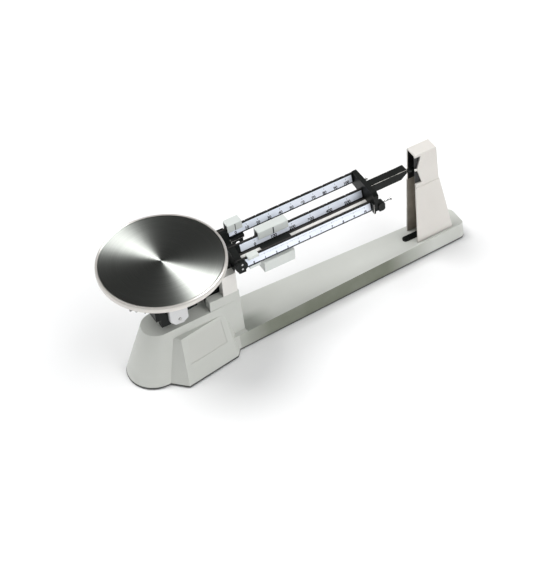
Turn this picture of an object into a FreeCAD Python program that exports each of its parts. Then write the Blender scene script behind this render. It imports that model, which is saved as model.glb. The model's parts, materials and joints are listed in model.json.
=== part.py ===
"""Triple beam balance: a cast base, a tilting beam with three notched bars, and a round pan.

The row frame has +X towards the pointer, +Z up and its origin under the middle of the balance.
Stations along the balance are measured from the pan's axis, which stands at pan_x.
"""
import FreeCAD, Part
import math
import os
import re
import Sketcher

V = FreeCAD.Vector

DIMENSIONS = {
    # the pan and where its axis stands
    "pan_x": -162.9, "pan_radius": 76.2, "pan_top": 168.2, "pan_bead": 1.0, "pan_sheet": 1.2,
    # the knife edges: the load arm runs from the pan's axis to the fulcrum
    "load_arm": 73.0, "knife_z": 100.0, "link_z": 36.0,
    # the cast base
    "wall": 3.0, "foot_gap": 2.0, "foot_radius": 6.0,
    "deck_z": 71.4, "raised_z": 85.0, "raised_start": 44.0, "pedestal_end": 84.0,
    "heel_x": -28.5, "heel_radius": 35.0, "crown_x": -18.0, "crown_radius": 19.5,
    "base_start": 60.0, "base_end": 402.0, "base_z": 23.3, "lip": 2.3, "lip_depth": 2.2,
    "base_half": 32.5, "base_half_end": 19.5, "base_draft": 2.9,
    # the apron on the front of the pedestal, which carries a blank panel
    "apron_z": 60.0, "panel_depth": 0.9,
    # the beam's three bars, named by where they lie
    "bar_gap": 21.0, "bar_left": 83.0, "bar_right": 266.0, "bar_thick": 2.2,
    "bar_height": 11.9, "bar_lean": 3.46,
    "rear_z": 148.3, "middle_z": 139.2, "front_z": 135.0,
    "rear_zero": 104.6, "rear_step": 15.12, "middle_zero": 117.9, "middle_step": 25.26,
    "notch_radius": 0.9,
    # the pointer and the tower round its tip
    "bracket_thick": 6.5, "pointer_z": 142.5, "pointer_deep": 12.5, "pointer_half": 5.5,
    "tower_left": 335.0, "tower_right": 369.0, "tower_foot": 386.0, "tower_wall": 2.0,
    "tower_half": 10.9, "tower_foot_half": 13.6, "tower_joint_z": 111.0,
    "zero_mark_z": 139.0,
    "cap_z": 162.5, "cap_right": 366.0, "cap_half": 8.8,
    # the play in a turning fit
    "running": 0.05,
}

doc = FreeCAD.newDocument("TripleBeamBalance")
sheet = doc.addObject("Spreadsheet::Sheet", "Dimensions")
for row, (alias, value) in enumerate(DIMENSIONS.items(), 1):
    sheet.set("A%d" % row, alias)
    sheet.set("B%d" % row, str(value))
    sheet.setAlias("B%d" % row, alias)
doc.recompute()

PIECES = []


# ---------------------------------------------------------------- building helpers
def formula(text):
    """Write a formula of dimension names as one that reads the spreadsheet."""
    def cell(word):
        name = word.group()
        return "Dimensions." + name if name in DIMENSIONS else name
    return re.sub(r"[a-z][a-z_0-9]*", cell, "(%s)" % text)


def number(text):
    """The present value of a formula, for a sketch's first guess or a shape set in code."""
    return float(sheet.evalExpression(formula(text)))


def bind(thing, **formulas):
    """Bind properties, written with __ for a dot, to formulas."""
    for name, text in formulas.items():
        thing.setExpression(name.replace("__", "."), formula(text))
    return thing


def place(thing, x, y, z, rotation=None):
    """Place a thing at a station along the balance."""
    if rotation:
        thing.Placement = FreeCAD.Placement(V(0, 0, 0), rotation)
    return bind(thing, Placement__Base__x="pan_x + %s" % x, Placement__Base__y=y, Placement__Base__z=z)


def block(x, y, z):
    """A box from three pairs of formulas, each from low to high."""
    thing = doc.addObject("Part::Box", "Block")
    bind(thing, Length="%s - (%s)" % (x[1], x[0]), Width="%s - (%s)" % (y[1], y[0]),
         Height="%s - (%s)" % (z[1], z[0]))
    return place(thing, x[0], y[0], z[0])


ALONG = {"X": FreeCAD.Rotation(V(0, 1, 0), 90), "Y": FreeCAD.Rotation(V(1, 0, 0), -90), "Z": None}


def rod(axis, start, radius, length):
    """A cylinder that runs from its start along +X, +Y or +Z."""
    thing = doc.addObject("Part::Cylinder", "Rod")
    bind(thing, Radius=radius, Height=length)
    return place(thing, start[0], start[1], start[2], ALONG[axis])


def cone(start, low, high, length):
    """An upright cone from its low radius to its high one."""
    thing = doc.addObject("Part::Cone", "Cone")
    bind(thing, Radius1=low, Radius2=high, Height=length)
    return place(thing, start[0], start[1], start[2])


def polygon(sketch, corners):
    """Draw a closed polygon whose every corner is held by two bound distances."""
    points = [V(number(a), number(b), 0) for a, b in corners]
    count = len(points)
    for i in range(count):
        sketch.addGeometry(Part.LineSegment(points[i], points[(i + 1) % count]), False)
    for i in range(count):
        sketch.addConstraint(Sketcher.Constraint("Coincident", i, 2, (i + 1) % count, 1))
    for i, (a, b) in enumerate(corners):
        for kind, text in (("DistanceX", a), ("DistanceY", b)):
            index = sketch.addConstraint(Sketcher.Constraint(kind, -1, 1, i, 1, number(text)))
            sketch.setExpression("Constraints[%d]" % index, formula(text))


PLANES = {"XY": "XY_Plane", "XZ": "XZ_Plane", "YZ": "YZ_Plane"}


def profile(plane, corners, low, high):
    """A body padded from a polygon on XY, XZ or YZ, from low to high along the third axis."""
    body = doc.addObject("PartDesign::Body", "Profile")
    sketch = body.newObject("Sketcher::SketchObject", "Outline")
    origin = [f for f in body.Origin.OriginFeatures if f.Role == PLANES[plane]][0]
    sketch.AttachmentSupport = [(origin, "")]
    sketch.MapMode = "FlatFace"
    polygon(sketch, corners)
    lift = "-1*(%s)" % high if plane == "XZ" else low
    sketch.setExpression("AttachmentOffset.Base.z", formula(lift))
    pad = body.newObject("PartDesign::Pad", "Pad")
    pad.Profile = sketch
    pad.setExpression("Length", formula("%s - (%s)" % (high, low)))
    bind(body, Placement__Base__x="pan_x")
    return body


def turned(corners, x, y):
    """A body turned about an upright axis from a polygon of radius and height."""
    body = doc.addObject("PartDesign::Body", "Turned")
    sketch = body.newObject("Sketcher::SketchObject", "Section")
    origin = [f for f in body.Origin.OriginFeatures if f.Role == "XZ_Plane"][0]
    sketch.AttachmentSupport = [(origin, "")]
    sketch.MapMode = "FlatFace"
    polygon(sketch, corners)
    turn = body.newObject("PartDesign::Revolution", "Revolution")
    turn.Profile = sketch
    turn.ReferenceAxis = (sketch, ["V_Axis"])
    turn.Angle = 360
    return place(body, x, y, "0")


def level(corners, z):
    """A flat polygon at a height, for a loft."""
    sketch = doc.addObject("Sketcher::SketchObject", "Level")
    polygon(sketch, corners)
    return place(sketch, "0", "0", z)


def ring(x, radius, z):
    """A flat circle at a station and a height, for a loft."""
    circle = doc.addObject("Part::Circle", "Ring")
    bind(circle, Radius=radius)
    return place(circle, x, "0", z)


def loft(*sections):
    """A solid with straight sides between flat sections."""
    thing = doc.addObject("Part::Loft", "Loft")
    thing.Sections = list(sections)
    thing.Solid = True
    thing.Ruled = True
    return thing


def taper(x_low, half_low, z_low, x_high, half_high, z_high):
    """A solid between two rectangles that are symmetric about the balance's long axis."""
    sections = []
    for (left, right), half, z in ((x_low, half_low, z_low), (x_high, half_high, z_high)):
        lower = "-1*(%s)" % half
        sections.append(level([(left, lower), (right, lower), (right, half), (left, half)], z))
    return loft(*sections)


def fuse(*things):
    """Join things into one solid."""
    thing = doc.addObject("Part::MultiFuse", "Fuse")
    thing.Shapes = list(things)
    thing.Refine = True
    return thing


def cut(base, *tools):
    """Cut tools out of a base."""
    for tool in tools:
        result = doc.addObject("Part::Cut", "Cut")
        result.Base = base
        result.Tool = tool
        base = result
    return base


def mirrored(thing):
    """The same thing on the other side of the balance's long axis."""
    twin = doc.addObject("Part::Mirroring", "Mirrored")
    twin.Source = thing
    twin.Base = V(0, 0, 0)
    twin.Normal = V(0, 1, 0)
    return twin


def together(*things):
    """Separate solids that are one kind of piece."""
    thing = doc.addObject("Part::Compound", "Group")
    thing.Links = list(things)
    return thing


def rounded(thing, radius, chosen):
    """Round the edges that a test picks."""
    doc.recompute()
    edges = [i + 1 for i, edge in enumerate(thing.Shape.Edges) if chosen(edge)]
    fillet = doc.addObject("Part::Fillet", "Rounded")
    fillet.Base = thing
    size = number(radius)
    fillet.Edges = [(i, size, size) for i in edges]
    return fillet


def node(thing, label):
    """Name a finished sub-part and keep it for the export."""
    thing.Label = label
    PIECES.append(thing)
    return thing


# ---------------------------------------------------------------- base
def pedestal_core(inset, floor, ceiling):
    """The pedestal: a leaning round end and a tapered body behind it, smaller by an inset."""
    heel = "heel_radius - %s" % inset
    crown = "crown_radius - %s" % inset
    end = "pedestal_end - %s" % inset
    round_end = loft(ring("heel_x", heel, floor), ring("crown_x", crown, ceiling))
    low = [("heel_x", "-1*heel_radius + %s" % inset), (end, "-24 + %s" % inset),
           (end, "24 - %s" % inset), ("heel_x", heel)]
    high = [("crown_x", "-1*crown_radius + %s" % inset), (end, "-18.2 + %s" % inset),
            (end, "18.2 - %s" % inset), ("crown_x", crown)]
    return [round_end, loft(level(low, floor), level(high, ceiling))]


def apron():
    """The bulge on each side of the pedestal, with one flat sloping face."""
    low = [("-30.5", "-30"), ("-8.7", "-51.7"), ("63", "-41"), ("72", "-30")]
    high = [("-10", "-20.3"), ("-2", "-28.3"), ("61", "-18.9"), ("63.5", "-15.8")]
    return loft(level(low, "foot_gap"), level(high, "apron_z"))


def long_base(inset, floor, ceiling):
    """The tapered channel from the pedestal to the tower."""
    start = "base_start + %s" % inset
    end = "base_end - %s" % inset
    low = [(start, "-1*base_half + %s" % inset), (end, "-1*base_half_end + %s" % inset),
           (end, "base_half_end - %s" % inset), (start, "base_half - %s" % inset)]
    high = [(start, "-1*base_half + base_draft + %s" % inset),
            (end, "-1*base_half_end + base_draft + %s" % inset),
            (end, "base_half_end - base_draft - %s" % inset),
            (start, "base_half - base_draft - %s" % inset)]
    return loft(level(low, floor), level(high, ceiling))


def panel_slab(start, depth):
    """A slab parallel to the apron's front face, from a depth under it, for the blank panel."""
    low_left = V(-8.7, -51.7, number("foot_gap"))
    low_right = V(63.0, -41.0, number("foot_gap"))
    high_left = V(-2.0, -28.3, number("apron_z"))
    across = low_right - low_left
    rise = high_left - low_left
    out = across.cross(rise).normalize()
    corners = []
    for along, up in ((0.10, 0.42), (0.84, 0.42), (0.79, 0.93), (0.13, 0.93)):
        corners.append(low_left + across * along + rise * up)
    shift = V(number("pan_x"), 0, 0) - out * start
    wire = Part.makePolygon([c + shift for c in corners + corners[:1]])
    slab = doc.addObject("Part::Feature", "PanelSlab")
    slab.Shape = Part.Face(wire).extrude(out * depth)
    return slab


FEET = [("-34", "20"), ("-34", "-20"), ("388", "9"), ("388", "-9")]


def base_casting():
    """The hollow casting: pedestal, apron, raised deck and long channel in one piece."""
    upright = lambda e: e.BoundBox.ZLength > 15 and e.BoundBox.XMin > 230
    channel = rounded(long_base("0", "foot_gap", "base_z"), "8", upright)
    deck = taper(("raised_start", "pedestal_end"), "18.2", "deck_z - 1",
                 ("raised_start + 1", "pedestal_end"), "17", "raised_z")
    front = apron()
    outside = fuse(*pedestal_core("0", "foot_gap", "deck_z"), front, mirrored(front), channel, deck)
    trough = block(("raised_start - 5", "pedestal_end + 3"), ("-6.8", "6.8"),
                   ("deck_z + 1.6", "raised_z + 5"))
    recess = cut(long_base("lip + base_draft", "base_z - lip_depth", "base_z + 5"),
                 block(("0", "pedestal_end"), ("-60", "60"), ("0", "60")))
    stem_hole = rod("Z", ("0", "0", "50"), "9", "40")
    hollow = fuse(*pedestal_core("wall", "-1", "deck_z - wall"), long_base("wall", "-1", "base_z - wall - 1"))
    shell = cut(outside, trough, recess, hollow, stem_hole, panel_slab(number("panel_depth"), 5))
    bosses = []
    for x, y in FEET:
        top = "base_z + foot_gap" if x.startswith("-") else "base_z - wall"
        boss = rod("Z", (x, y, "foot_gap"), "foot_radius", "%s - foot_gap" % top)
        bosses.append(cut(boss, rod("Z", (x, y, "foot_gap - 1"), "1.6", "9")))
    node(fuse(shell, *bosses), "base_casting")


def feet():
    """Four rubber feet and the screws that hold them."""
    pads = []
    screws = []
    for x, y in FEET:
        pad = cone((x, y, "0"), "foot_radius - 0.6", "foot_radius", "foot_gap")
        sink = rod("Z", (x, y, "-1"), "3.2", "2")
        pads.append(cut(pad, sink, rod("Z", (x, y, "0"), "1.6", "9")))
        head = rod("Z", (x, y, "0.3"), "3.2", "0.7")
        screws.append(fuse(head, rod("Z", (x, y, "1"), "1.5", "8")))
    node(together(*pads), "rubber_feet")
    node(together(*screws), "foot_screws")


def fulcrum_side(y_in, y_out):
    """One pillar cover, its bearing holder and its agate vee, on the side of +Y."""
    low = "load_arm - 9.2"
    high = "load_arm + 9.5"
    cover = cut(block((low, high), (y_in, y_out), ("raised_z", "raised_z + 30")),
                block((low + " + 1.6", high + " - 1.6"), (y_in + " - 1", y_out + " - 1.6"),
                      ("raised_z - 1", "raised_z + 28.4")))
    holder = block(("load_arm - 6", "load_arm + 6"), (y_in + " + 0.6", y_out + " - 2"),
                   ("raised_z", "knife_z - 7"))
    vee = profile("XZ", [("load_arm - 4", "knife_z - 7"), ("load_arm + 4", "knife_z - 7"),
                         ("load_arm + 4", "knife_z + 1.95"), ("load_arm", "knife_z - running"),
                         ("load_arm - 4", "knife_z + 1.95")], y_in + " + 0.8", y_out + " - 2.2")
    return cover, holder, vee


def fulcrum():
    """The two pillars that carry the fulcrum knife."""
    cover, holder, vee = fulcrum_side("6.9", "17")
    node(cover, "pillar_cover_rear")
    node(mirrored(cover), "pillar_cover_front")
    node(together(holder, mirrored(holder)), "bearing_holders")
    node(together(vee, mirrored(vee)), "fulcrum_bearings")


def label_panel():
    """The blank panel let into the apron."""
    node(panel_slab(number("panel_depth"), number("panel_depth") - 0.4), "label_panel")


# ---------------------------------------------------------------- tower
def window(z_wide, z_point):
    """One of the two sloping cuts that leave a short tab on the tower's front wall at zero."""
    return profile("XZ", [("tower_left - 4", z_wide), ("tower_left + 9", z_wide),
                          ("tower_left + 3.6", z_point), ("tower_left - 4", z_point)],
                   "-20", "-1*cap_half + tower_wall + 1.5")


def tower():
    """The hollow tower, open towards the beam, with its cap."""
    foot = "base_z - lip_depth"
    shell = taper(("tower_left", "tower_foot"), "tower_foot_half", foot,
                  ("tower_left", "tower_right"), "tower_half", "tower_joint_z")
    room = taper(("tower_left - 5", "tower_foot - tower_wall"), "tower_foot_half - tower_wall", foot + " - 1",
                 ("tower_left - 5", "tower_right - tower_wall"), "tower_half - tower_wall",
                 "tower_joint_z + 1")
    node(cut(shell, room), "tower_shell")
    left = "tower_left + 0.5"
    cap = taper((left, "tower_right - 0.7"), "tower_half - 0.7", "tower_joint_z",
                (left, "cap_right"), "cap_half", "cap_z")
    cap = rounded(cap, "1.5", lambda e: abs(e.BoundBox.ZMin - number("cap_z")) < 0.01)
    inside = taper(("tower_left - 5", "tower_right - 2.7"), "tower_half - 0.7 - tower_wall",
                   "tower_joint_z - 1", ("tower_left - 5", "cap_right - tower_wall"),
                   "cap_half - tower_wall", "cap_z - tower_wall")
    upper = window("158.6", "zero_mark_z + 1.2")
    lower = window("117.3", "zero_mark_z - 1.2")
    node(cut(cap, inside, upper, lower), "tower_cap")
    plate = profile("YZ", [("-8.05", "113"), ("-6.78", "160"), ("-6.18", "160"), ("-7.45", "113")],
                    "tower_left + 0.8", "tower_left + 11.5")
    node(together(plate, mirrored(plate)), "zero_plates")


def damper():
    """The magnets that steady the beam, on a black bracket whose tongue lies on the base."""
    floor = "base_z - lip_depth"
    tongue = fuse(block(("tower_left - 10", "tower_left + 26"), ("-4", "4"), (floor, floor + " + 2")),
                  rod("Z", ("tower_left - 10", "0", floor), "4", "2"))
    post = block(("tower_left + 24", "tower_left + 26"), ("-4.5", "4.5"), (floor, "tower_joint_z - 14"))
    height = ("tower_joint_z - 14", "tower_joint_z + 12")
    head = block(("tower_left + 24", "tower_left + 26"), ("-7.4", "7.4"), height)
    yoke = block(("tower_left + 12", "tower_left + 24"), ("5.8", "7.4"), height)
    tongue = cut(tongue, rod("Z", ("tower_left - 9", "0", "0"), "1.6", "40"))
    node(fuse(tongue, post, head), "damper_bracket")
    magnet = block(("tower_left + 13", "tower_left + 23"), ("2.2", "5.8"),
                   ("tower_joint_z - 8", "tower_joint_z + 8"))
    node(together(magnet, mirrored(magnet)), "damping_magnets")
    node(together(yoke, mirrored(yoke)), "magnet_yokes")
    button = rod("Z", ("tower_left - 9", "0", floor + " + 2"), "2.8", "1.2")
    slot = block(("tower_left - 13", "tower_left - 5"), ("-0.4", "0.4"), (floor + " + 2.6", floor + " + 4"))
    node(fuse(cut(button, slot), rod("Z", ("tower_left - 9", "0", floor), "1.5", "2")), "tongue_screw")


# ---------------------------------------------------------------- beam
def knife(x, edge_z, up, low, high):
    """A three-cornered steel knife along Y with its edge up or down."""
    back = "%s %s 6" % (edge_z, "-" if up else "+")
    corners = [(x, edge_z), (x + " + 3", back), (x + " - 3", back)]
    return profile("XZ", corners, low, high)


def beam_casting():
    """The black casting: a fork under the pan, a spine over the fulcrum and a header for the bars."""
    arm = profile("XZ", [("-18", "knife_z - 21"), ("-6", "knife_z - 21"), ("-3", "knife_z - 13"),
                         ("28", "knife_z - 10"), ("28", "knife_z + 4"), ("-18", "knife_z + 6")], "8", "16")
    end = block(("-24", "-18"), ("-16", "16"), ("knife_z - 8", "knife_z + 6"))
    nose = block(("-32", "-24"), ("-5", "5"), ("knife_z + 2", "knife_z + 17"))
    rib = block(("-24", "-21"), ("-5", "5"), ("knife_z + 2", "knife_z + 17"))
    joint = block(("22", "30"), ("-16", "16"), ("knife_z - 10", "knife_z + 4"))
    spine = profile("XZ", [("28", "knife_z - 10"), ("50", "knife_z - 22"), ("66", "knife_z - 24"),
                           ("84", "knife_z - 6"), ("90", "knife_z + 16"), ("82", "knife_z + 22"),
                           ("72", "knife_z + 9"), ("28", "knife_z + 4")], "-5.5", "5.5")
    header = profile("YZ", [("-27.5", "front_z - 14"), ("-27.5", "front_z - 0.4"), ("-17", "front_z - 0.4"),
                            ("-8", "middle_z - 0.4"), ("6", "middle_z - 0.4"), ("17", "rear_z - 0.4"),
                            ("26", "rear_z - 0.4"), ("26", "rear_z - 14"), ("17", "rear_z - 20"),
                            ("6", "middle_z - 24"), ("-6", "middle_z - 24"), ("-14", "front_z - 14")],
                     "bar_left", "bar_left + 9")
    lobe = rod("Y", ("bar_left + 3", "-30", "front_z - 2"), "7.8", "4.8")
    casting = fuse(arm, mirrored(arm), end, nose, rib, joint, spine, header, lobe)
    rows = (("bar_gap", "rear_z"), ("0", "middle_z"), ("-1*bar_gap", "front_z"))
    blades = [blade(y, top) for y, top in rows]
    fulcrum_knife = knife("load_arm", "knife_z", False, "-13.5", "13.5")
    load_knife = knife("0", "knife_z", True, "8", "21.4")
    screw_hole = rod("X", ("-33", "0", "knife_z + 12"), "1.5", "13")
    screws = together(rod("Y", ("bar_left + 3.5", "-30.5", "front_z + 2"), "1.3", "3"),
                      rod("Y", ("bar_left + 3.5", "-30.5", "front_z - 5"), "1.3", "3"))
    load_knives = together(load_knife, mirrored(load_knife))
    node(cut(casting, fulcrum_knife, load_knives, screw_hole, screws, *blades), "beam_casting")
    node(screws, "header_screws")
    node(fulcrum_knife, "fulcrum_knife")
    node(load_knives, "load_knives")


def blade(y, top):
    """A plain leaning bar, let into the header at one end."""
    corners = [(y, top), (y + " - bar_lean", top + " - bar_height"),
               (y + " - bar_lean + bar_thick", top + " - bar_height"), (y + " + bar_thick", top)]
    return profile("YZ", corners, "bar_left", "bar_right")


def notched(thing, y, top, zero, step, count):
    """A bar with a row of notches along its top edge."""
    notches = []
    for i in range(count):
        start = ("%s + %d*%s" % (zero, i, step), y + " - 1", top + " + 0.3")
        notches.append(rod("Y", start, "notch_radius", "bar_thick + 2"))
    return cut(thing, together(*notches))


def strip(y, top, left, right):
    """The thin number strip on a bar's leaning face, short of the bar's two edges."""
    upper = (y + " - 0.12*bar_lean", top + " - 0.12*bar_height")
    lower = (y + " - 0.88*bar_lean", top + " - 0.88*bar_height")
    corners = [upper, lower, (lower[0] + " - 0.384", lower[1] + " + 0.112"),
               (upper[0] + " - 0.384", upper[1] + " + 0.112")]
    return profile("YZ", corners, left, right)


def bars():
    """The three bars, the shelf and pale rail at the middle bar's foot, and the number strips."""
    rear = blade("bar_gap", "rear_z")
    node(notched(rear, "bar_gap", "rear_z", "rear_zero", "rear_step", 11), "rear_bar")
    middle = notched(blade("0", "middle_z"), "0", "middle_z", "middle_zero", "middle_step", 6)
    low = "middle_z - bar_height"
    shelf = block(("bar_left + 9", "bar_right"), ("-7.4", "0.5 - bar_lean"), (low + " - 1", low + " + 0.2"))
    node(fuse(middle, shelf), "middle_bar")
    rail = block(("bar_left + 9", "bar_right"), ("-11.4", "-7.4"), (low + " - 1", low + " + 0.2"))
    node(rail, "middle_rail")
    node(blade("-1*bar_gap", "front_z"), "front_bar")
    node(strip("bar_gap", "rear_z", "bar_left + 13", "bar_right - 2"), "rear_strip")
    node(strip("0", "middle_z", "bar_left + 16", "bar_right - 1"), "middle_strip")
    node(strip("-1*bar_gap", "front_z", "bar_left + 11", "bar_right - 2"), "front_strip")


def end_bracket():
    """The upright plate that ties the bars' far ends, with the front clamp and two pegs."""
    plate = profile("YZ", [("-28", "front_z - 12.5"), ("-28", "147"), ("-24", "150.5"), ("22.5", "150"),
                           ("22.5", "130.5"), ("12", "129"), ("-9", "125.5"), ("-18", "front_z - 12.5")],
                    "bar_right", "bar_right + bracket_thick")
    rim = lambda e: e.BoundBox.YLength > 3 and e.BoundBox.ZLength < 0.01 and e.BoundBox.XLength < 0.01
    near = block(("bar_right - 1.5", "bar_right + 1"), ("-30.5", "-25.6"), ("front_z - 13", "front_z + 3"))
    near = rounded(near, "1", rim)
    far = rounded(block(("bar_right + bracket_thick - 1", "bar_right + bracket_thick + 8"), ("-29.5", "-21"),
                        ("front_z - 14", "front_z - 2")), "3", rim)
    pegs = []
    holes = []
    for y, z, start, reach in (("-24", "front_z - 6.4", "bar_right + bracket_thick + 8", 10),
                               ("16", "134.7", "bar_right + bracket_thick", 9)):
        stem = rod("X", (start + " - 3", y, z), "1.2", "%d + 3" % reach)
        groove = cut(rod("X", ("%s + %d - 3" % (start, reach), y, z), "1.6", "1.4"),
                     rod("X", ("%s + %d - 4" % (start, reach), y, z), "0.8", "4"))
        head = rod("X", ("%s + %d" % (start, reach), y, z), "2", "1.6")
        pegs.append(cut(fuse(stem, head), groove))
        holes.append(rod("X", (start + " - 3", y, z), "1.2", "5"))
    node(cut(fuse(plate, near, far), *holes), "end_bracket")
    node(together(*pegs), "weight_pegs")


def pointer():
    """The channel-shaped pointer arm, its forked tip and the vane between the magnets."""
    start = "bar_right + bracket_thick"
    stop = "tower_left - 17"
    low = "pointer_z - pointer_deep"
    outline = profile("XZ", [(start, low), (stop, low), (stop + " + 8.5", "zero_mark_z - 2"),
                             (stop + " + 8.5", "pointer_z"), (start, "pointer_z")],
                      "-1*pointer_half", "pointer_half")
    inside = block((start + " - 1", stop + " + 10"), ("-1*pointer_half + 1.6", "pointer_half - 1.6"),
                   (low + " - 1", "pointer_z - 1.8"))
    node(cut(outline, inside), "pointer_arm")
    near = "-1*pointer_half"
    prong = profile("XY", [(stop + " + 4", near + " + 1.6"), (stop + " + 8.5", near + " + 1.6"),
                           (stop + " + 8.5", near + " - 1.8"), ("tower_left - 3", near + " - 2.6"),
                           ("tower_left - 3", near + " - 1.8"), (stop + " + 10.5", near + " + 1"),
                           (stop + " + 8.5", "pointer_half - 4"), (stop + " + 4", "pointer_half - 4")],
                    "zero_mark_z - 0.6", "pointer_z - 1.8")
    node(prong, "pointer_tip")
    vane = profile("XZ", [(stop + " - 6", "pointer_z - 1.8"), (stop + " - 6", "pointer_z - 8"),
                          ("tower_left + 6", "pointer_z - 8"), ("tower_left + 12", "tower_joint_z - 7"),
                          ("tower_left + 20", "tower_joint_z - 7"), ("tower_left + 20", "tower_joint_z + 8"),
                          ("tower_left + 14", "zero_mark_z - 1"), (stop + " + 3", "zero_mark_z - 1"),
                          (stop + " + 3", "pointer_z - 1.8")], "-0.5", "0.5")
    node(vane, "damper_vane")


ZERO_Z = "knife_z + 12"


def zero_adjuster():
    """The screw behind the pan, and the knob and threaded insert that travel on it."""
    node(rod("X", ("-48", "0", ZERO_Z), "1.5", "28"), "zero_screw")
    insert = rod("X", ("-42", "0", ZERO_Z), "3", "6")
    node(cut(insert, rod("X", ("-43", "0", ZERO_Z), "1.5 + running", "8")), "zero_insert")
    knob = rounded(rod("X", ("-42", "0", ZERO_Z), "5.2", "6"), "0.8", lambda e: e.BoundBox.XLength < 0.01)
    node(cut(knob, rod("X", ("-43", "0", ZERO_Z), "3 + running", "8")), "zero_knob")


# ---------------------------------------------------------------- pan and its carrier
def pan_carrier():
    """The pale yoke that hangs on the load knives: a bridge, two cheeks and a boss."""
    cheek = profile("XZ", [("-9", "knife_z + 20"), ("-9", "knife_z - 11"), ("-3", "knife_z - 18"),
                           ("7", "knife_z - 19"), ("14", "knife_z - 14"), ("14", "knife_z + 20")], "18", "23")
    pocket = block(("-5", "5"), ("17", "21.6"), ("knife_z - 8", "knife_z + 7"))
    cheek = cut(cheek, pocket)
    bridge = block(("-9", "14"), ("-23", "23"), ("knife_z + 18", "knife_z + 24"))
    boss = cone(("0", "0", "knife_z + 24"), "8", "6.5", "26")
    spindle_bore = rod("Z", ("0", "0", "knife_z + 30"), "4", "30")
    stem_bore = rod("Z", ("0", "0", "knife_z + 10"), "3.5", "18")
    screw = fuse(rod("Y", ("3", "23", "knife_z - 11"), "2", "0.9"),
                 rod("Y", ("3", "21", "knife_z - 11"), "1.2", "2"))
    screws = together(screw, mirrored(screw))
    node(cut(fuse(cheek, mirrored(cheek), bridge, boss), spindle_bore, stem_bore, screws), "pan_carrier")
    vee = profile("XZ", [("-4.9", "knife_z + 7"), ("4.9", "knife_z + 7"), ("4.9", "knife_z - 2.4"),
                         ("0", "knife_z + running"), ("-4.9", "knife_z - 2.4")], "18.2", "21.5")
    node(together(vee, mirrored(vee)), "load_bearings")
    node(rod("Z", ("0", "0", "knife_z + 30"), "4", "30"), "pan_spindle")
    node(screws, "carrier_screws")


def carrier_stem():
    """The rod from the carrier down into the pedestal, with a forked eye for the check link."""
    stem = rod("Z", ("0", "0", "link_z + 8"), "3.5", "knife_z - link_z + 20")
    fork = cut(block(("-5", "5"), ("-7", "7"), ("link_z - 6", "link_z + 9")),
               block(("-6", "6"), ("-2.6", "2.6"), ("link_z - 7", "link_z + 6")))
    pin = rod("Y", ("0", "-8", "link_z"), "2", "16")
    node(cut(fuse(stem, fork), pin), "carrier_stem")
    node(pin, "stem_pin")


def check_link():
    """The hidden link that keeps the carrier upright, and the bracket it turns on."""
    bar_body = block(("0", "load_arm"), ("-2", "2"), ("link_z - 3", "link_z + 3"))
    eyes = [rod("Y", (x, "-2", "link_z"), "5", "4") for x in ("0", "load_arm")]
    holes = [rod("Y", (x, "-3", "link_z"), "2 + running", "6") for x in ("0", "load_arm")]
    node(cut(fuse(bar_body, *eyes), *holes), "check_link")
    top = block(("load_arm - 8", "load_arm + 6"), ("-9", "9"), ("deck_z - wall - 3", "deck_z - wall"))
    lug = block(("load_arm - 5", "load_arm + 5"), ("3", "7"), ("link_z - 5", "deck_z - wall"))
    pin = rod("Y", ("load_arm", "-8", "link_z"), "2", "16")
    node(cut(fuse(top, lug, mirrored(lug)), pin), "link_bracket")
    node(pin, "link_pin")


def pan():
    """The flat pan with a turned-down rim, and the socket under it that drops over the spindle."""
    flat = "pan_top - pan_bead"
    under = "pan_top - pan_bead - pan_sheet"
    dish = turned([("0", flat), ("0", under), ("pan_radius - 3.4", under),
                   ("pan_radius - 1.9", "pan_top - 3.4"), ("pan_radius - 1.5", "pan_top - 7"),
                   ("pan_radius - 0.4", "pan_top - 7.4"), ("pan_radius", "pan_top - 6.4"),
                   ("pan_radius", "pan_top - 1.7"),
                   ("pan_radius - 0.8", "pan_top - 0.3"), ("pan_radius - 1.9", "pan_top"),
                   ("pan_radius - 3", "pan_top - 0.3"), ("pan_radius - 4.2", flat)], "0", "0")
    node(dish, "pan")
    hub = turned([("4 + running", under), ("4 + running", "knife_z + 50"), ("9", "knife_z + 50"),
                  ("11", "knife_z + 53"), ("20", "pan_top - 4.4"), ("20", under)], "0", "0")
    node(hub, "pan_hub")


# ---------------------------------------------------------------- poises
def saddle(y, top, left, right):
    """A channel turned over a bar's top edge, open below, from one station to another."""
    outer = [(y + " - 3.9", top + " - 3.7"), (y + " - 3.2", top + " + 6.2"), (y + " - 2.4", top + " + 6.8"),
             (y + " + 8", top + " + 6.8"), (y + " + 8", top + " - 4.4")]
    inner = [(y + " + 6.4", top + " - 4.4"), (y + " + 6.4", top + " + 4.8"), (y + " - 1.6", top + " + 4.8"),
             (y + " - 2.3", top + " - 3.7")]
    return profile("YZ", outer + inner, left, right)


def detent(y, top, zero):
    """The pin across a poise that rides on the bar's top edge and rests in its notches."""
    return rod("Y", (zero, y + " - 2.6", top + " + 1.7"), "1.4", "9.8")


def mark(y, top, zero, half):
    """The index line let into a poise's front face."""
    corners = [(y + " - 4.03", top + " - 3.4"), (y + " - 3.36", top + " + 5.8"),
               (y + " - 2.7", top + " + 5.8"), (y + " - 3.28", top + " - 3.4")]
    return profile("YZ", corners, "%s - %g" % (zero, half), "%s + %g" % (zero, half))


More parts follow.
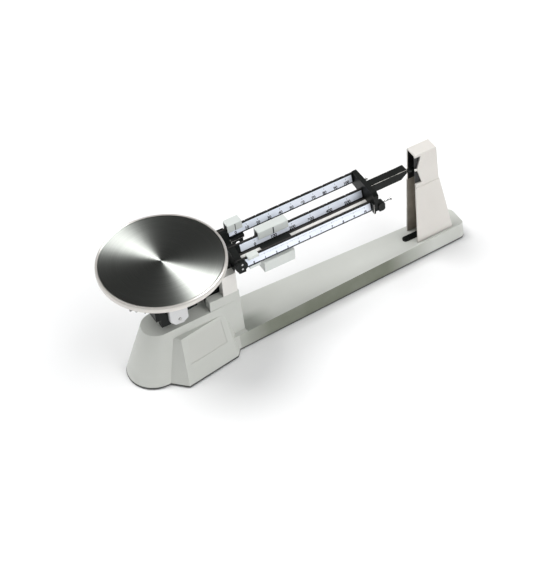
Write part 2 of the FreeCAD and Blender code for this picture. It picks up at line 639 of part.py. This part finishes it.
def rear_poise():
    """The ten-step poise: a pale cover on the rear bar, with a dark weight and a stepped block below."""
    y, top, zero = "bar_gap", "rear_z", "rear_zero"
    line = mark(y, top, zero, 0.5)
    pin = detent(y, top, zero)
    low = top + " - bar_height"
    node(cut(saddle(y, top, zero + " - 10", zero + " + 9"), line, pin), "rear_poise_cover")
    node(line, "rear_poise_mark")
    along = (zero + " - 10", zero + " + 9")
    web = block(along, (y + " + 3.6", y + " + 8"), (low + " - 0.6", top + " - 4.4"))
    weight = block(along, (y + " - 6.6", y + " + 8"), (low + " - 5", low + " - 0.6"))
    node(fuse(web, weight), "rear_poise_weight")
    step = block((zero + " - 8", zero + " + 7.5"), (y + " - 5.6", y + " + 7"), (low + " - 12", low + " - 5"))
    groove = rod("Y", (zero, y + " - 7", low + " - 12"), "3", "20")
    node(cut(step, groove), "rear_poise_block")
    node(pin, "rear_poise_pin")


MIDDLE_REST = "middle_zero + middle_step"


def middle_poise():
    """The hundred-step poise, resting one notch along: cover, dark core and pale lower block."""
    y, top, zero = "0", "middle_z", MIDDLE_REST
    line = mark(y, top, zero, 0.75)
    pin = detent(y, top, zero)
    low = top + " - bar_height"
    node(cut(saddle(y, top, zero + " - 20", zero + " + 20"), line, pin), "middle_poise_cover")
    node(line, "middle_poise_mark")
    web = block((zero + " - 20", zero + " + 18"), ("3.6", "8"), (low + " - 1.4", top + " - 4.4"))
    along = (zero + " - 22", zero + " + 18")
    core = block(along, ("-13", "9"), ("112.5", low + " - 1.4"))
    lip = block(along, ("-13", "-11.8"), (low + " - 1.4", low + " + 1.8"))
    lid = block(along, ("-13", "-1*bar_lean - 1.2"), (low + " + 0.6", low + " + 1.8"))
    node(fuse(web, core, lip, lid), "middle_poise_core")
    lower = rounded(block((zero + " - 24", zero + " + 17.5"), ("-20", "9"), ("97.3", "112.5")),
                    "1", lambda e: e.BoundBox.ZLength > 10)
    node(lower, "middle_poise_block")
    node(pin, "middle_poise_pin")


def front_poise():
    """The light clip that slides along the plain front bar, open at the front."""
    y, top, zero = "-1*bar_gap", "front_z", "rear_zero"
    under = top + " - bar_height - 1.4"
    outer = [(y + " - 3.8", top + " - 1.8"), (y + " - 3.4", top + " + 1.6"), (y + " + 4.4", top + " + 1.6"),
             (y + " + 4.4", under + " - 1"),
             (y + " - 5.8", under + " - 1"), (y + " - 5.8", under + " + 2.2"), (y + " - 4.8", under + " + 2.2"),
             (y + " - 4.8", under), (y + " + 3.4", under), (y + " + 3.4", top + " + 0.5"),
             (y + " - 2.5", top + " + 0.5"), (y + " - 2.8", top + " - 1.8")]
    node(profile("YZ", outer, zero + " - 7", zero + " + 7"), "front_poise")


base_casting()
label_panel()
feet()
fulcrum()
tower()
damper()
beam_casting()
bars()
end_bracket()
pointer()
zero_adjuster()
pan_carrier()
carrier_stem()
check_link()
pan()
rear_poise()
middle_poise()
front_poise()


# ---------------------------------------------------------------- export
def export():
    """Check every object and write each sub-part as one STEP file."""
    doc.recompute()
    for thing in doc.Objects:
        if "Invalid" in thing.State or "Error" in thing.State:
            raise RuntimeError("%s (%s) failed: %s" % (thing.Name, thing.Label, thing.State))
    os.makedirs("parts", exist_ok=True)
    for piece in PIECES:
        if piece.Shape.isNull() or not piece.Shape.isValid():
            raise RuntimeError("%s has no valid shape" % piece.Label)
        piece.Shape.exportStep("parts/%s.step" % piece.Label)
        print("%-26s %2d solids %10.0f mm3" % (piece.Label, len(piece.Shape.Solids), piece.Shape.Volume))


export()
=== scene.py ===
"""Looks for the triple beam balance: materials, numbers and small details on the CAD frame."""
import json
import math

import bmesh
import bpy
from mathutils import Matrix, Vector


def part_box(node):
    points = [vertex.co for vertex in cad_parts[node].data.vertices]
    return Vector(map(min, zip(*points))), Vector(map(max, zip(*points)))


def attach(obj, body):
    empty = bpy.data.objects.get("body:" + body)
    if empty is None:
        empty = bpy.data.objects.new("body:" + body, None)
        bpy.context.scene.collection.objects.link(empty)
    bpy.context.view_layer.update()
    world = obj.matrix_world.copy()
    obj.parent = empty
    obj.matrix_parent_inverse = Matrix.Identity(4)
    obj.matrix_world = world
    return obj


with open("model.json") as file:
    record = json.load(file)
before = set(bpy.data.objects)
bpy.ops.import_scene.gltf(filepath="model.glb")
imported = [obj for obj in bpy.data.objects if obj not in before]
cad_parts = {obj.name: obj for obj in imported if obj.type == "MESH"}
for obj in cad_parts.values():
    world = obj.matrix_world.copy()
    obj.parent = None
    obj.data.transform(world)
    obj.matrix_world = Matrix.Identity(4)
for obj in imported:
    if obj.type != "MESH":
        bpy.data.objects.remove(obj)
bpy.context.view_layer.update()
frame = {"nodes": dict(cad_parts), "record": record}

MM = 0.001

# Places read from the frame
PAN_LOW, PAN_HIGH = (Vector(c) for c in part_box("pan"))
PAN_CENTRE = (PAN_LOW + PAN_HIGH) / 2
PAN_RADIUS = (PAN_HIGH.x - PAN_LOW.x) / 2

# The base: where its channel leaves the pedestal, and how far out the channel's sides lie there
CHANNEL_START = PAN_CENTRE.x + 84.4 * MM
FLANK_Y = 24.3 * MM

# The scales: the distance from one number to the next, and the height of the numbers
REAR_STEP = 15.12 * MM
MIDDLE_STEP = 25.26 * MM
REAR_NUMBER = 5.2 * MM
MIDDLE_NUMBER = 5.6 * MM
FRONT_NUMBER = 3.6 * MM

# The print: how much the figures are thickened, and how far the ink stands off the strip
BOLD = 0.20 * MM
INK_HALF = 0.01 * MM
NUMBER_LIFT = 0.03 * MM
LINE_LIFT = 0.035 * MM
FOOT_BAND = 0.9 * MM

# Its lines: their lengths as shares of the strip's height, their widths, the gap over them, and
# how near the strip's end a number may stand
LONG_TICK = 0.20
SHORT_TICK = 0.12
TICK_WIDTH = 0.35 * MM
FINE_WIDTH = 0.22 * MM
TOP_GAP = 0.3 * MM
END_GAP = 2 * MM

# How far the numbers stand below the strip's middle, as shares of its height
DROP = 0.14
FINE_DROP = 0.18

# The camera: heading, height angle and roll in degrees, place in metres, lens and sensor in mm
CAMERA_TURN = (-25.722, 46.118, -5.64)
CAMERA_PLACE = (-0.7080, -1.4348, 1.6943)
LENS = 119.0
SENSOR = 36.0

FLOOR_HALF = 6
LAMP_DISTANCE = 1.8


# ---------------------------------------------------------------- node helpers
class Nodes:
    """A short way to write a material's node tree."""

    def __init__(self, name):
        self.material = bpy.data.materials.new(name)
        self.material.use_nodes = True
        self.tree = self.material.node_tree
        self.shader = self.tree.nodes["Principled BSDF"]

    def add(self, kind, **settings):
        made = self.tree.nodes.new(kind)
        for key, value in settings.items():
            setattr(made, key, value)
        return made

    def link(self, source, target):
        self.tree.links.new(source, target)

    def set(self, **values):
        """Set the shader's own sockets, named with _ for each space."""
        for key, value in values.items():
            self.shader.inputs[key.replace("_", " ")].default_value = value

    def coords(self):
        return self.add("ShaderNodeTexCoord").outputs["Object"]

    def noise(self, scale, detail=3.0, vector=None):
        made = self.add("ShaderNodeTexNoise")
        made.inputs["Scale"].default_value = scale
        made.inputs["Detail"].default_value = detail
        made.inputs["Roughness"].default_value = 0.55
        self.link(vector or self.coords(), made.inputs["Vector"])
        return made.outputs["Fac"]

    def ramp(self, factor, stops):
        """A colour that changes with a factor, from one (position, colour) stop to another."""
        made = self.add("ShaderNodeValToRGB")
        for element, (position, value) in zip(made.color_ramp.elements, stops):
            element.position = position
            element.color = colour(value)
        self.link(factor, made.inputs["Fac"])
        return made.outputs["Color"]

    def maths(self, operation, a, b=0.0):
        made = self.add("ShaderNodeMath", operation=operation)
        for socket, value in zip(made.inputs, (a, b)):
            if isinstance(value, (int, float)):
                socket.default_value = value
            else:
                self.link(value, socket)
        return made.outputs["Value"]

    def product(self, first, *others):
        for other in others:
            first = self.maths("MULTIPLY", first, other)
        return first

    def above(self, value, limit):
        return self.maths("GREATER_THAN", value, limit)

    def below(self, value, limit):
        return self.maths("LESS_THAN", value, limit)

    def rising(self, value, start, full):
        """0 up to a start, then rising evenly to 1 at the full value and beyond it."""
        share = self.maths("DIVIDE", self.maths("SUBTRACT", value, start), full - start)
        return self.maths("MAXIMUM", 0.0, self.maths("MINIMUM", 1.0, share))

    def mix(self, factor, a, b):
        made = self.add("ShaderNodeMix", data_type="RGBA")
        self.link(factor, made.inputs["Factor"])
        return self.colours(made, a, b)

    def multiplied(self, a, b, share):
        """A colour multiplied by another, by a share of its full effect."""
        made = self.add("ShaderNodeMix", data_type="RGBA", blend_type="MULTIPLY")
        made.inputs["Factor"].default_value = share
        return self.colours(made, a, b)

    def colours(self, made, a, b):
        """Feed a mixing node's two colours, and return the colour that comes out."""
        sockets = [i for i in made.inputs if i.type == "RGBA"]
        for socket, value in zip(sockets, (a, b)):
            if isinstance(value, tuple):
                socket.default_value = colour(value)
            else:
                self.link(value, socket)
        return [o for o in made.outputs if o.type == "RGBA"][0]

    def bump(self, height, strength, distance):
        made = self.add("ShaderNodeBump")
        made.inputs["Strength"].default_value = strength
        made.inputs["Distance"].default_value = distance
        self.link(height, made.inputs["Height"])
        self.link(made.outputs["Normal"], self.shader.inputs["Normal"])

    def paint(self, source):
        self.link(source, self.shader.inputs["Base Color"])

    def rough(self, factor, low, high):
        """Vary the roughness between two values with a factor."""
        made = self.add("ShaderNodeMapRange")
        made.inputs["To Min"].default_value = low
        made.inputs["To Max"].default_value = high
        self.link(factor, made.inputs["Value"])
        self.link(made.outputs["Result"], self.shader.inputs["Roughness"])

    def split(self, vector):
        """A vector's X, Y and Z."""
        parts = self.add("ShaderNodeSeparateXYZ")
        self.link(vector, parts.inputs[0])
        return parts.outputs

    def face(self, axis):
        """How far the surface faces along one axis."""
        return self.split(self.add("ShaderNodeNewGeometry").outputs["True Normal"])[axis]

    def place(self, axis):
        """Where the surface lies along one axis."""
        return self.split(self.coords())[axis]

    def near(self, coordinate, low, high, width):
        """1 at either end of a range, falling to 0 a width away from it."""
        ends = []
        for end in (low, high):
            away = self.maths("ABSOLUTE", self.maths("SUBTRACT", coordinate, end))
            ends.append(self.maths("SUBTRACT", 1.0, self.maths("DIVIDE", away, width)))
        return self.maths("MAXIMUM", self.maths("MAXIMUM", ends[0], ends[1]), 0.0)

    def edges(self, box, width):
        """1 along the twelve edges of a box, 0 on its faces."""
        parts = self.split(self.coords())
        near = [self.near(parts[k], box[0][k], box[1][k], width) for k in range(3)]
        pairs = [self.maths("MINIMUM", near[a], near[b]) for a, b in ((0, 1), (1, 2), (0, 2))]
        return self.maths("MAXIMUM", self.maths("MAXIMUM", pairs[0], pairs[1]), pairs[2])

    def scaled(self, source, scale):
        """A vector multiplied by another, part by part."""
        made = self.add("ShaderNodeVectorMath", operation="MULTIPLY")
        self.link(source, made.inputs[0])
        made.inputs[1].default_value = scale
        return made.outputs[0]


def colour(value):
    return value + (1.0,)


def grey(value):
    return (value, value, value)


# ---------------------------------------------------------------- materials
def soiled(n, skin):
    """Painted shade on the base: darker on the channel's sides, on its top by the pedestal, and
    along the foot.
    """
    x, y, z = (n.place(axis) for axis in "XYZ")
    side = n.below(n.face("Z"), 0.6)
    wide = n.above(n.maths("ABSOLUTE", y), FLANK_Y)
    beside = n.product(wide, n.above(x, CHANNEL_START - 12 * MM))
    channel = n.maths("MAXIMUM", beside, n.above(x, CHANNEL_START))
    patchy = n.maths("ADD", 0.75, n.product(n.noise(25.0, detail=4.0), 0.4))
    build = n.rising(x, CHANNEL_START - 30 * MM, CHANNEL_START + 30 * MM)
    fade = n.rising(x, CHANNEL_START + 270 * MM, CHANNEL_START + 200 * MM)
    # Painted shade: the channel's sides darkened in patches, growing in from the pedestal and
    # fading towards the far end.
    skin = n.mix(n.product(side, channel, patchy, build, fade), skin, (0.132, 0.144, 0.105))
    top = n.product(n.above(n.face("Z"), 0.9), n.above(x, CHANNEL_START))
    close = n.rising(x, CHANNEL_START + 42 * MM, CHANNEL_START + 12 * MM)
    front = n.rising(y, 2 * MM, -10 * MM)
    # Painted shade: the channel's top darkened beside the pedestal, towards the front.
    skin = n.mix(n.product(top, close, front, 0.65), skin, (0.18, 0.20, 0.165))
    foot = n.rising(z, 4.0 * MM, 3.2 * MM)
    # Painted shadow: a near-black line along the foot of the sides, where the base meets the
    # floor.
    return n.mix(n.product(side, foot), skin, (0.02, 0.022, 0.019))


def enamel(name, base, shade, with_painted_shade=False):
    """Sprayed enamel with an orange-peel skin, faint mottling and dirt specks, and, when asked,
    the base's painted shade.
    """
    n = Nodes(name)
    mottled = n.ramp(n.noise(9.0, detail=4.0), [(0.35, base), (0.65, shade)])
    specks = n.ramp(n.noise(420.0, detail=2.0), [(0.20, grey(0.78)), (0.28, grey(1.0))])
    skin = n.multiplied(mottled, specks, 0.5)
    # The base's enamel can carry painted shade on its channel's sides, top and foot.
    n.paint(soiled(n, skin) if with_painted_shade else skin)
    n.rough(n.noise(60.0), 0.34, 0.48)
    n.bump(n.noise(900.0, detail=2.0), strength=0.06, distance=0.4 * MM)
    n.set(Coat_Weight=0.2, Coat_Roughness=0.25)
    return n.material


def moulded(n, skin):
    """Finish a plastic in a colour, with a fine spark-eroded grain."""
    n.paint(skin)
    n.rough(n.noise(90.0, detail=2.0), 0.38, 0.5)
    n.bump(n.noise(1600.0, detail=1.0), strength=0.10, distance=0.3 * MM)
    n.set(Specular_IOR_Level=0.45)
    return n.material


def plastic(name, base, shade):
    """Moulded plastic in one lightly clouded colour."""
    n = Nodes(name)
    return moulded(n, n.ramp(n.noise(14.0, detail=5.0), [(0.3, base), (0.7, shade)]))


def tower_plastic(name):
    """Ivory moulding, with painted shade on the inner faces of its walls."""
    n = Nodes(name)
    ivory = [(0.3, (0.620, 0.595, 0.560)), (0.7, (0.655, 0.630, 0.595))]
    inner_shade = [(0.3, (0.28, 0.25, 0.20)), (0.7, (0.46, 0.42, 0.36))]
    outer = n.ramp(n.noise(14.0, detail=5.0), ivory)
    inner = n.ramp(n.noise(40.0, detail=4.0), inner_shade)
    # Painted shade: faces that look into the tower are darkened to a brown grey.
    inward = n.below(n.product(n.place("Y"), n.face("Y")), -3 * MM)
    return moulded(n, n.mix(inward, outer, inner))


def black_enamel(name, box=None):
    """Black stoved enamel; given a piece's box, it is worn to metal along the box's edges."""
    n = Nodes(name)
    black = [(0.3, (0.0050, 0.0060, 0.0055)), (0.7, (0.0090, 0.0105, 0.0095))]
    skin = n.ramp(n.noise(45.0, detail=4.0), black)
    if box:
        scuff = n.product(n.noise(160.0, detail=4.0), 1.3)
        worn = n.above(n.product(n.edges(box, 0.9 * MM), scuff), 0.42)
        skin = n.mix(worn, skin, (0.60, 0.58, 0.54))
    n.paint(skin)
    n.rough(n.noise(70.0), 0.30, 0.46)
    n.bump(n.noise(1100.0, detail=2.0), strength=0.10, distance=0.3 * MM)
    n.set(Specular_IOR_Level=0.14)
    return n.material


def bar_metal(name):
    """Blackened bar stock, a little brighter on its top faces: rubbed where the poises ride, and a
    painted highlight where the flat tops catch the light.
    """
    n = Nodes(name)
    # Partly wear, partly painted highlight: up-facing faces get a brighter, patchy colour.
    rubbed_and_sheen = n.product(n.above(n.face("Z"), 0.8), n.noise(90.0, detail=4.0))
    n.paint(n.mix(rubbed_and_sheen, (0.008, 0.009, 0.009), (0.05, 0.045, 0.042)))
    n.rough(n.noise(120.0), 0.30, 0.45)
    n.bump(n.noise(1300.0, detail=2.0), strength=0.08, distance=0.2 * MM)
    n.set(Specular_IOR_Level=0.2)
    return n.material


def turned_steel(name, base=(0.56, 0.56, 0.55), low=0.18, high=0.34):
    """Bright metal with fine machining marks, and a roughness between two values."""
    n = Nodes(name)
    n.set(Metallic=0.75)
    marks = n.noise(900.0)
    dark = tuple(c * 0.82 for c in base)
    n.paint(n.ramp(marks, [(0.3, dark), (0.7, base)]))
    n.rough(n.noise(160.0), low, high)
    n.bump(marks, strength=0.12, distance=0.1 * MM)
    return n.material


def pan_steel(name):
    """Stainless sheet brushed in circles about the pan's axis, with its rim painted paler and
    duller as a painted highlight.
    """
    n = Nodes(name)
    n.set(Anisotropic=0.9, Anisotropic_Rotation=0.25)
    shift = n.add("ShaderNodeVectorMath", operation="SUBTRACT")
    n.link(n.coords(), shift.inputs[0])
    shift.inputs[1].default_value = PAN_CENTRE
    length = n.add("ShaderNodeVectorMath", operation="LENGTH")
    n.link(n.scaled(shift.outputs[0], (1.0, 1.0, 0.0)), length.inputs[0])
    radius = length.outputs["Value"]
    spread = n.add("ShaderNodeCombineXYZ")
    n.link(radius, spread.inputs[0])
    n.link(n.noise(5.0, detail=1.0), spread.inputs[1])
    lines = n.noise(2600.0, detail=4.0, vector=n.scaled(spread.outputs[0], (1.0, 0.004, 1.0)))
    flat = n.ramp(lines, [(0.25, (0.46, 0.485, 0.45)), (0.75, (0.66, 0.68, 0.65))])
    # Painted highlight: the outer 3 mm are painted paler and less metallic, standing in for the
    # bright floor mirrored in the rim.
    rim = n.above(radius, PAN_RADIUS - 3.0 * MM)
    n.paint(n.mix(rim, flat, (0.72, 0.69, 0.65)))
    n.link(n.maths("SUBTRACT", 0.97, n.product(rim, 0.45)), n.shader.inputs["Metallic"])
    n.rough(lines, 0.26, 0.34)
    tangent = n.add("ShaderNodeTangent", direction_type="RADIAL", axis="Z")
    n.link(tangent.outputs[0], n.shader.inputs["Tangent"])
    n.bump(lines, strength=0.05, distance=0.1 * MM)
    return n.material


def agate(name):
    """Banded polished agate."""
    n = Nodes(name)
    wave = n.add("ShaderNodeTexWave")
    wave.inputs["Scale"].default_value = 220.0
    wave.inputs["Distortion"].default_value = 6.0
    n.link(n.coords(), wave.inputs["Vector"])
    n.paint(n.ramp(wave.outputs["Fac"], [(0.2, (0.22, 0.08, 0.05)), (0.8, (0.55, 0.34, 0.24))]))
    n.rough(n.noise(80.0), 0.08, 0.18)
    n.set(Coat_Weight=0.6)
    return n.material


def rubber(name):
    """Dull black rubber, dusty in patches."""
    n = Nodes(name)
    n.paint(n.ramp(n.noise(200.0, detail=4.0), [(0.3, grey(0.012)), (0.7, grey(0.030))]))
    n.rough(n.noise(300.0), 0.7, 0.9)
    n.bump(n.noise(1500.0), strength=0.3, distance=0.2 * MM)
    return n.material


def ferrite(name):
    """Dark grainy magnet."""
    n = Nodes(name)
    n.paint(n.ramp(n.noise(700.0, detail=4.0), [(0.3, grey(0.03)), (0.7, grey(0.075))]))
    n.rough(n.noise(300.0), 0.45, 0.7)
    n.bump(n.noise(900.0), strength=0.25, distance=0.2 * MM)
    return n.material


def strip_paper(name):
    """The pale blue-white number strip, clouded along its length."""
    n = Nodes(name)
    pale = [(0.3, (0.78, 0.83, 0.93)), (0.7, (0.85, 0.89, 0.97))]
    n.paint(n.ramp(n.noise(35.0, detail=5.0), pale))
    n.rough(n.noise(120.0), 0.30, 0.42)
    n.bump(n.noise(1500.0), strength=0.05, distance=0.1 * MM)
    return n.material


def ink(name):
    """Black print, uneven in its cover."""
    n = Nodes(name)
    n.paint(n.ramp(n.noise(900.0), [(0.3, (0.010, 0.011, 0.014)), (0.7, (0.020, 0.022, 0.028))]))
    n.rough(n.noise(500.0), 0.4, 0.6)
    return n.material


def floor_paint(name):
    """Nearly white, dull floor."""
    n = Nodes(name)
    n.paint(n.ramp(n.noise(3.0), [(0.3, grey(0.84)), (0.7, grey(0.86))]))
    n.rough(n.noise(30.0), 0.75, 0.85)
    return n.material


LOOKS = {
    # The base's paint carries painted shade.
    "base_paint": enamel("base_paint", (0.485, 0.495, 0.463), (0.522, 0.533, 0.500), with_painted_shade=True),
    "panel_sheet": plastic("panel_sheet", (0.470, 0.476, 0.445), (0.495, 0.500, 0.470)),
    "rubber": rubber("rubber"),
    "steel": turned_steel("steel"),
    "knife_steel": turned_steel("knife_steel", (0.48, 0.50, 0.53), 0.12, 0.22),
    "agate": agate("agate"),
    "cover_plastic": enamel("cover_plastic", (0.66, 0.645, 0.615), (0.70, 0.685, 0.655)),
    "tower_plastic": tower_plastic("tower_plastic"),
    "black_paint": black_enamel("black_paint"),
    "bracket_steel": black_enamel("bracket_steel"),
    "dark_plastic": plastic("dark_plastic", grey(0.006), grey(0.011)),
    "magnet": ferrite("magnet"),
    "bar_metal": bar_metal("bar_metal"),
    "strip": strip_paper("strip"),
    "vane": turned_steel("vane", (0.60, 0.60, 0.61), 0.25, 0.4),
    "brass": turned_steel("brass", (0.74, 0.55, 0.26), 0.2, 0.35),
    "pan_steel": pan_steel("pan_steel"),
    "carrier_paint": enamel("carrier_paint", (0.57, 0.57, 0.575), (0.61, 0.61, 0.615)),
    "poise_shell": enamel("poise_shell", (0.565, 0.595, 0.575), (0.605, 0.635, 0.615)),
    "poise_core": black_enamel("poise_core"),
    "poise_block": enamel("poise_block", (0.575, 0.600, 0.580), (0.615, 0.640, 0.620)),
    "ink": ink("ink"),
}

# Boxy black pieces, whose paint is worn along their own edges
WORN = ("pointer_arm", "end_bracket", "middle_poise_core", "rear_poise_weight", "rear_poise_block")


def dress_frame():
    """Give every CAD node the material of its slot."""
    for part in frame["record"]["subparts"]:
        made = frame["nodes"][part["node"]]
        look = LOOKS[part["material_slot"]]
        if part["node"] in WORN:
            look = black_enamel("worn_" + part["node"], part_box(part["node"]))
        for slot in made.material_slots:
            slot.material = look
        if not made.material_slots:
            made.data.materials.append(look)


# ---------------------------------------------------------------- numbers and ticks
def strip_frame(name):
    """A strip's leaning face: a matrix with +X along it, +Y up it and +Z out of it; its height
    up the lean; and the X of its two ends."""
    mesh = frame["nodes"][name].data
    low, high = (Vector(c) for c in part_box(name))
    face = max(mesh.polygons, key=lambda p: p.area if p.normal.y < -0.5 else 0.0)
    out = face.normal.normalized()
    along = Vector((1, 0, 0))
    up = out.cross(along).normalized()
    points = [mesh.vertices[i].co for i in face.vertices]
    tall = max(p.dot(up) for p in points) - min(p.dot(up) for p in points)
    middle = sum(points, Vector()) / len(points)
    middle.x = 0.0
    turn = Matrix((along, up, out)).transposed().to_4x4()
    turn.translation = middle
    return turn, tall, low.x, high.x


def figures(text, height, matrix, x, y):
    """The mesh of one printed number, centred at a place on a strip."""
    curve = bpy.data.curves.new("number", "FONT")
    curve.body = text
    curve.size = height
    curve.align_x = "CENTER"
    curve.align_y = "CENTER"
    curve.extrude = INK_HALF
    curve.offset = BOLD
    made = bpy.data.objects.new("number", curve)
    bpy.context.collection.objects.link(made)
    bpy.context.view_layer.update()
    mesh = bpy.data.meshes.new_from_object(made)
    bpy.data.objects.remove(made)
    mesh.transform(matrix @ Matrix.Translation((x, y, NUMBER_LIFT)))
    return mesh


def ticks(places, matrix, top):
    """The mesh of printed lines hanging from a height: (x, length, width) each."""
    points = []
    faces = []
    for x, length, width in places:
        start = len(points)
        for dx, dy in ((-0.5, 0.0), (0.5, 0.0), (0.5, -1.0), (-0.5, -1.0)):
            points.append(matrix @ Vector((x + dx * width, top + dy * length, LINE_LIFT)))
        faces.append([start + 3, start + 2, start + 1, start])
    mesh = bpy.data.meshes.new("ticks")
    mesh.from_pydata(points, [], faces)
    return mesh


def print_on_beam(name, meshes):
    """Join printed meshes into one inked piece that rides with the beam."""
    whole = bmesh.new()
    for printed in meshes:
        whole.from_mesh(printed)
        bpy.data.meshes.remove(printed)
    mesh = bpy.data.meshes.new(name)
    whole.to_mesh(mesh)
    whole.free()
    mesh.materials.append(LOOKS["ink"])
    piece = bpy.data.objects.new(name, mesh)
    bpy.context.collection.objects.link(piece)
    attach(piece, "beam")


def print_scale(strip, zero, step, values, height, fine=1):
    """One scale: its numbers, a tick over each, fine divisions between them, and a foot band."""
    matrix, tall, low, high = strip_frame(strip)
    drop = -DROP * tall if fine == 1 else -FINE_DROP * tall
    meshes = []
    places = []
    for i, value in enumerate(values):
        x = zero + i * step
        if x > high - END_GAP:
            continue
        meshes.append(figures(str(value), height, matrix, x, drop))
        places.append((x, LONG_TICK * tall, TICK_WIDTH))
        if i + 1 < len(values):
            for j in range(1, fine):
                share = LONG_TICK if j == fine / 2 else SHORT_TICK
                places.append((x + j * step / fine, share * tall, FINE_WIDTH))
    meshes.append(ticks(places, matrix, 0.5 * tall - TOP_GAP))
    band = ((low + high) / 2, FOOT_BAND, high - low)
    meshes.append(ticks([band], matrix, FOOT_BAND - 0.5 * tall))
    print_on_beam(strip.replace("strip", "print"), meshes)


def centre_x(node):
    low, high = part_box(node)
    return (low[0] + high[0]) / 2


def print_strips():
    """The three scales: tens to 100, hundreds to 500, and units to 10 in tenths."""
    zero = centre_x("rear_poise_mark")
    middle_zero = centre_x("middle_poise_mark") - MIDDLE_STEP
    print_scale("rear_strip", zero, REAR_STEP, range(0, 101, 10), REAR_NUMBER)
    print_scale("middle_strip", middle_zero, MIDDLE_STEP, range(0, 501, 100), MIDDLE_NUMBER)
    print_scale("front_strip", zero, REAR_STEP, range(0, 11), FRONT_NUMBER, fine=10)


# ---------------------------------------------------------------- stage, light and camera
def lamp(name, kind, toward, power, **settings):
    """A light that shines from a direction onto the pan's end of the balance."""
    data = bpy.data.lights.new(name, kind)
    data.energy = power
    for key, value in settings.items():
        setattr(data, key, value)
    made = bpy.data.objects.new(name, data)
    bpy.context.collection.objects.link(made)
    target = Vector((PAN_CENTRE.x, 0.0, PAN_HIGH.z))
    made.location = target + Vector(toward).normalized() * LAMP_DISTANCE
    made.rotation_euler = Vector(toward).to_track_quat("Z", "Y").to_euler()
    return made


def soft_sun(name, toward, power, spread):
    """Broad light from a direction, spread over an angle in degrees, that metal doesn't mirror."""
    lamp(name, "SUN", toward, power, angle=math.radians(spread)).visible_glossy = False


def studio():
    """A pale floor, three soft suns, a dim sky, and a round card that only gloss mirrors."""
    h = FLOOR_HALF
    mesh = bpy.data.meshes.new("floor")
    mesh.from_pydata([(-h, -h, 0), (h, -h, 0), (h, h, 0), (-h, h, 0)], [], [(0, 1, 2, 3)])
    mesh.materials.append(floor_paint("floor"))
    floor = bpy.data.objects.new("floor", mesh)
    bpy.context.collection.objects.link(floor)
    soft_sun("key", (-0.36, 0.30, 0.88), 2.2, 34)
    soft_sun("fill", (0.50, -0.40, 0.77), 1.3, 50)
    soft_sun("front", (0.25, -0.90, 0.30), 0.95, 40)
    card = lamp("card", "AREA", (0.42, 0.27, 0.866), 16.5, shape="DISK", size=0.58)
    card.visible_diffuse = False
    world = bpy.data.worlds.new("studio")
    bpy.context.scene.world = world
    world.use_nodes = True
    sky = world.node_tree.nodes["Background"]
    sky.inputs["Color"].default_value = (0.97, 0.985, 1.0, 1.0)
    sky.inputs["Strength"].default_value = 0.32
    world.cycles_visibility.glossy = False
    bpy.context.scene.view_settings.view_transform = "Standard"


def camera():
    """A long lens above the pan's end, a little to the left of the balance."""
    azimuth, elevation, roll = (math.radians(a) for a in CAMERA_TURN)
    level = math.cos(elevation)
    back = Vector((math.sin(azimuth) * level, -math.cos(azimuth) * level, math.sin(elevation)))
    right = Vector((math.cos(azimuth), math.sin(azimuth), 0.0))
    up = back.cross(right)
    turned_right = right * math.cos(roll) + up * math.sin(roll)
    turned_up = up * math.cos(roll) - right * math.sin(roll)
    data = bpy.data.cameras.new("camera")
    data.sensor_width = SENSOR
    data.lens = LENS
    made = bpy.data.objects.new("camera", data)
    bpy.context.collection.objects.link(made)
    matrix = Matrix((turned_right, turned_up, back)).transposed().to_4x4()
    matrix.translation = Vector(CAMERA_PLACE)
    made.matrix_world = matrix
    bpy.context.scene.camera = made


camera()
studio()
dress_frame()
print_strips()
